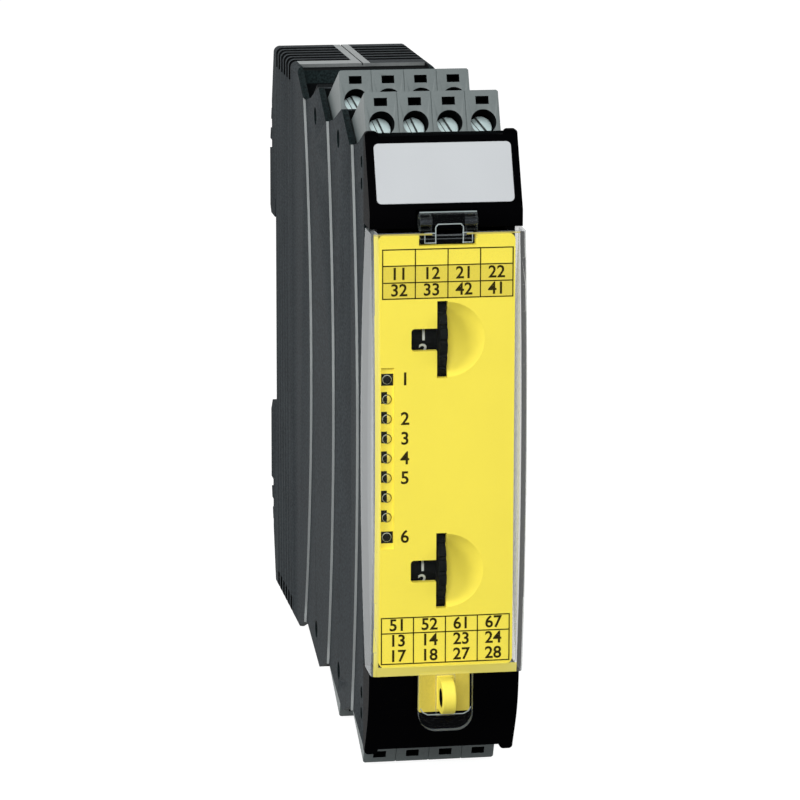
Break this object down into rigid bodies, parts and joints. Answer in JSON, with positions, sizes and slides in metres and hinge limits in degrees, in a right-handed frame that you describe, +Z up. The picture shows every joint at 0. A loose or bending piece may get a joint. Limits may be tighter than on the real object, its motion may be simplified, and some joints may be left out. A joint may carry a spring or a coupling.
{
  "type": "safety relay module",
  "caption": "Narrow rail-mounted control module with pull-off screw terminals above and below, a hinged clear cover, a yellow faceplate with thumbwheels and a sprung rail foot.",
  "frame": {"origin": "middle of the rail seat, where the rail's flange rests", "axes": "+Z up, the front faces -Y, X runs along the rail"},
  "size_m": [0.0226, 0.1153, 0.1016],
  "materials": {
    "housing": "matt textured slate-grey polyamide",
    "latch": "matt dark grey polyamide",
    "blank": "matt dark grey polyamide",
    "spring_steel": "bright spring wire",
    "frame": "glossy black",
    "label": "satin pale grey",
    "faceplate": "satin yellow",
    "clear": "clear polycarbonate",
    "pin_steel": "ground steel",
    "wheel": "satin black",
    "switch": "matt black",
    "guide": "clear light guide",
    "led": "clear epoxy on white",
    "board": "green solder mask",
    "header": "matt black",
    "pins": "tinned",
    "relay": "matt off-white case",
    "transformer": "dark core and tape",
    "capacitor": "sleeved can",
    "plug": "satin mid grey polyamide",
    "cage": "nickelled",
    "screw": "bright zinc"
  },
  "bodies": {
    "relay_body": {"housing_left": "housing", "housing_right": "housing", "foot_spring": "spring_steel", "front_frame": "frame", "label_plate": "label", "faceplate": "faceplate", "cover_hinge_pin": "pin_steel", "seal_eyelet": "faceplate", "switch_body_upper": "switch", "switch_body_lower": "switch", "light_guide": "guide", "status_leds": "led", "front_board": "board", "main_board": "board", "board_link": "header", "relay_rear": "relay", "relay_middle": "relay", "transformer": "transformer", "capacitors": "capacitor", "blanking_cover_top": "blank", "blanking_cover_bottom": "blank", "header_top_middle": "header", "header_pins_top_middle": "pins", "header_top_front": "header", "header_pins_top_front": "pins", "header_bottom_middle": "header", "header_pins_bottom_middle": "pins", "header_bottom_front": "header", "header_pins_bottom_front": "pins"},
    "clear_cover": {"clear_cover": "clear"},
    "thumbwheel_upper": {"thumbwheel_upper": "wheel"},
    "thumbwheel_lower": {"thumbwheel_lower": "wheel"},
    "rail_foot": {"rail_foot": "latch"},
    "plug_top_middle": {"plug_top_middle": "plug", "clamp_cages_top_middle": "cage"},
    "plug_top_front": {"plug_top_front": "plug", "clamp_cages_top_front": "cage"},
    "plug_bottom_middle": {"plug_bottom_middle": "plug", "clamp_cages_bottom_middle": "cage"},
    "plug_bottom_front": {"plug_bottom_front": "plug", "clamp_cages_bottom_front": "cage"},
    "screw_top_middle_1": {"screw_top_middle_1": "screw"},
    "screw_top_middle_2": {"screw_top_middle_2": "screw"},
    "screw_top_middle_3": {"screw_top_middle_3": "screw"},
    "screw_top_middle_4": {"screw_top_middle_4": "screw"},
    "screw_top_front_1": {"screw_top_front_1": "screw"},
    "screw_top_front_2": {"screw_top_front_2": "screw"},
    "screw_top_front_3": {"screw_top_front_3": "screw"},
    "screw_top_front_4": {"screw_top_front_4": "screw"},
    "screw_bottom_middle_1": {"screw_bottom_middle_1": "screw"},
    "screw_bottom_middle_2": {"screw_bottom_middle_2": "screw"},
    "screw_bottom_middle_3": {"screw_bottom_middle_3": "screw"},
    "screw_bottom_middle_4": {"screw_bottom_middle_4": "screw"},
    "screw_bottom_front_1": {"screw_bottom_front_1": "screw"},
    "screw_bottom_front_2": {"screw_bottom_front_2": "screw"},
    "screw_bottom_front_3": {"screw_bottom_front_3": "screw"},
    "screw_bottom_front_4": {"screw_bottom_front_4": "screw"}
  },
  "joints": [
    {"name": "cover_hinge", "type": "hinge", "parent": "relay_body", "child": "clear_cover", "pos_m": [0, -0.1042, 0.031], "axis": [-1, 0, 0], "range_deg": [0, 110]},
    {"name": "thumbwheel_upper_spin", "type": "hinge", "parent": "relay_body", "child": "thumbwheel_upper", "pos_m": [0, -0.0986, 0.0138], "axis": [1, 0, 0], "continuous": true},
    {"name": "thumbwheel_lower_spin", "type": "hinge", "parent": "relay_body", "child": "thumbwheel_lower", "pos_m": [0, -0.0986, -0.0205], "axis": [1, 0, 0], "continuous": true},
    {"name": "rail_foot_slide", "type": "slide", "parent": "relay_body", "child": "rail_foot", "axis": [0, 0, -1], "range_m": [0, 0.0032], "stiffness_N_per_m": 1500, "springref_m": -0.001, "deforming": ["foot_spring"]},
    {"name": "plug_top_middle_pull", "type": "slide", "parent": "relay_body", "child": "plug_top_middle", "axis": [0, 0.4226, 0.9063], "range_m": [0, 0.012]},
    {"name": "screw_top_middle_1_turn", "type": "hinge", "parent": "plug_top_middle", "child": "screw_top_middle_1", "pos_m": [-0.0075, -0.06301, 0.0418], "axis": [0, -0.9063, 0.4226], "continuous": true},
    {"name": "screw_top_middle_2_turn", "type": "hinge", "parent": "plug_top_middle", "child": "screw_top_middle_2", "pos_m": [-0.0025, -0.06301, 0.0418], "axis": [0, -0.9063, 0.4226], "continuous": true},
    {"name": "screw_top_middle_3_turn", "type": "hinge", "parent": "plug_top_middle", "child": "screw_top_middle_3", "pos_m": [0.0025, -0.06301, 0.0418], "axis": [0, -0.9063, 0.4226], "continuous": true},
    {"name": "screw_top_middle_4_turn", "type": "hinge", "parent": "plug_top_middle", "child": "screw_top_middle_4", "pos_m": [0.0075, -0.06301, 0.0418], "axis": [0, -0.9063, 0.4226], "continuous": true},
    {"name": "plug_top_front_pull", "type": "slide", "parent": "relay_body", "child": "plug_top_front", "axis": [0, 0.4226, 0.9063], "range_m": [0, 0.012]},
    {"name": "screw_top_front_1_turn", "type": "hinge", "parent": "plug_top_front", "child": "screw_top_front_1", "pos_m": [-0.0075, -0.08771, 0.0418], "axis": [0, -0.9063, 0.4226], "continuous": true},
    {"name": "screw_top_front_2_turn", "type": "hinge", "parent": "plug_top_front", "child": "screw_top_front_2", "pos_m": [-0.0025, -0.08771, 0.0418], "axis": [0, -0.9063, 0.4226], "continuous": true},
    {"name": "screw_top_front_3_turn", "type": "hinge", "parent": "plug_top_front", "child": "screw_top_front_3", "pos_m": [0.0025, -0.08771, 0.0418], "axis": [0, -0.9063, 0.4226], "continuous": true},
    {"name": "screw_top_front_4_turn", "type": "hinge", "parent": "plug_top_front", "child": "screw_top_front_4", "pos_m": [0.0075, -0.08771, 0.0418], "axis": [0, -0.9063, 0.4226], "continuous": true},
    {"name": "plug_bottom_middle_pull", "type": "slide", "parent": "relay_body", "child": "plug_bottom_middle", "axis": [0, 0.4226, -0.9063], "range_m": [0, 0.012]},
    {"name": "screw_bottom_middle_1_turn", "type": "hinge", "parent": "plug_bottom_middle", "child": "screw_bottom_middle_1", "pos_m": [-0.0075, -0.06301, -0.0478], "axis": [0, -0.9063, -0.4226], "continuous": true},
    {"name": "screw_bottom_middle_2_turn", "type": "hinge", "parent": "plug_bottom_middle", "child": "screw_bottom_middle_2", "pos_m": [-0.0025, -0.06301, -0.0478], "axis": [0, -0.9063, -0.4226], "continuous": true},
    {"name": "screw_bottom_middle_3_turn", "type": "hinge", "parent": "plug_bottom_middle", "child": "screw_bottom_middle_3", "pos_m": [0.0025, -0.06301, -0.0478], "axis": [0, -0.9063, -0.4226], "continuous": true},
    {"name": "screw_bottom_middle_4_turn", "type": "hinge", "parent": "plug_bottom_middle", "child": "screw_bottom_middle_4", "pos_m": [0.0075, -0.06301, -0.0478], "axis": [0, -0.9063, -0.4226], "continuous": true},
    {"name": "plug_bottom_front_pull", "type": "slide", "parent": "relay_body", "child": "plug_bottom_front", "axis": [0, 0.4226, -0.9063], "range_m": [0, 0.012]},
    {"name": "screw_bottom_front_1_turn", "type": "hinge", "parent": "plug_bottom_front", "child": "screw_bottom_front_1", "pos_m": [-0.0075, -0.08771, -0.0478], "axis": [0, -0.9063, -0.4226], "continuous": true},
    {"name": "screw_bottom_front_2_turn", "type": "hinge", "parent": "plug_bottom_front", "child": "screw_bottom_front_2", "pos_m": [-0.0025, -0.08771, -0.0478], "axis": [0, -0.9063, -0.4226], "continuous": true},
    {"name": "screw_bottom_front_3_turn", "type": "hinge", "parent": "plug_bottom_front", "child": "screw_bottom_front_3", "pos_m": [0.0025, -0.08771, -0.0478], "axis": [0, -0.9063, -0.4226], "continuous": true},
    {"name": "screw_bottom_front_4_turn", "type": "hinge", "parent": "plug_bottom_front", "child": "screw_bottom_front_4", "pos_m": [0.0075, -0.08771, -0.0478], "axis": [0, -0.9063, -0.4226], "continuous": true}
  ]
}
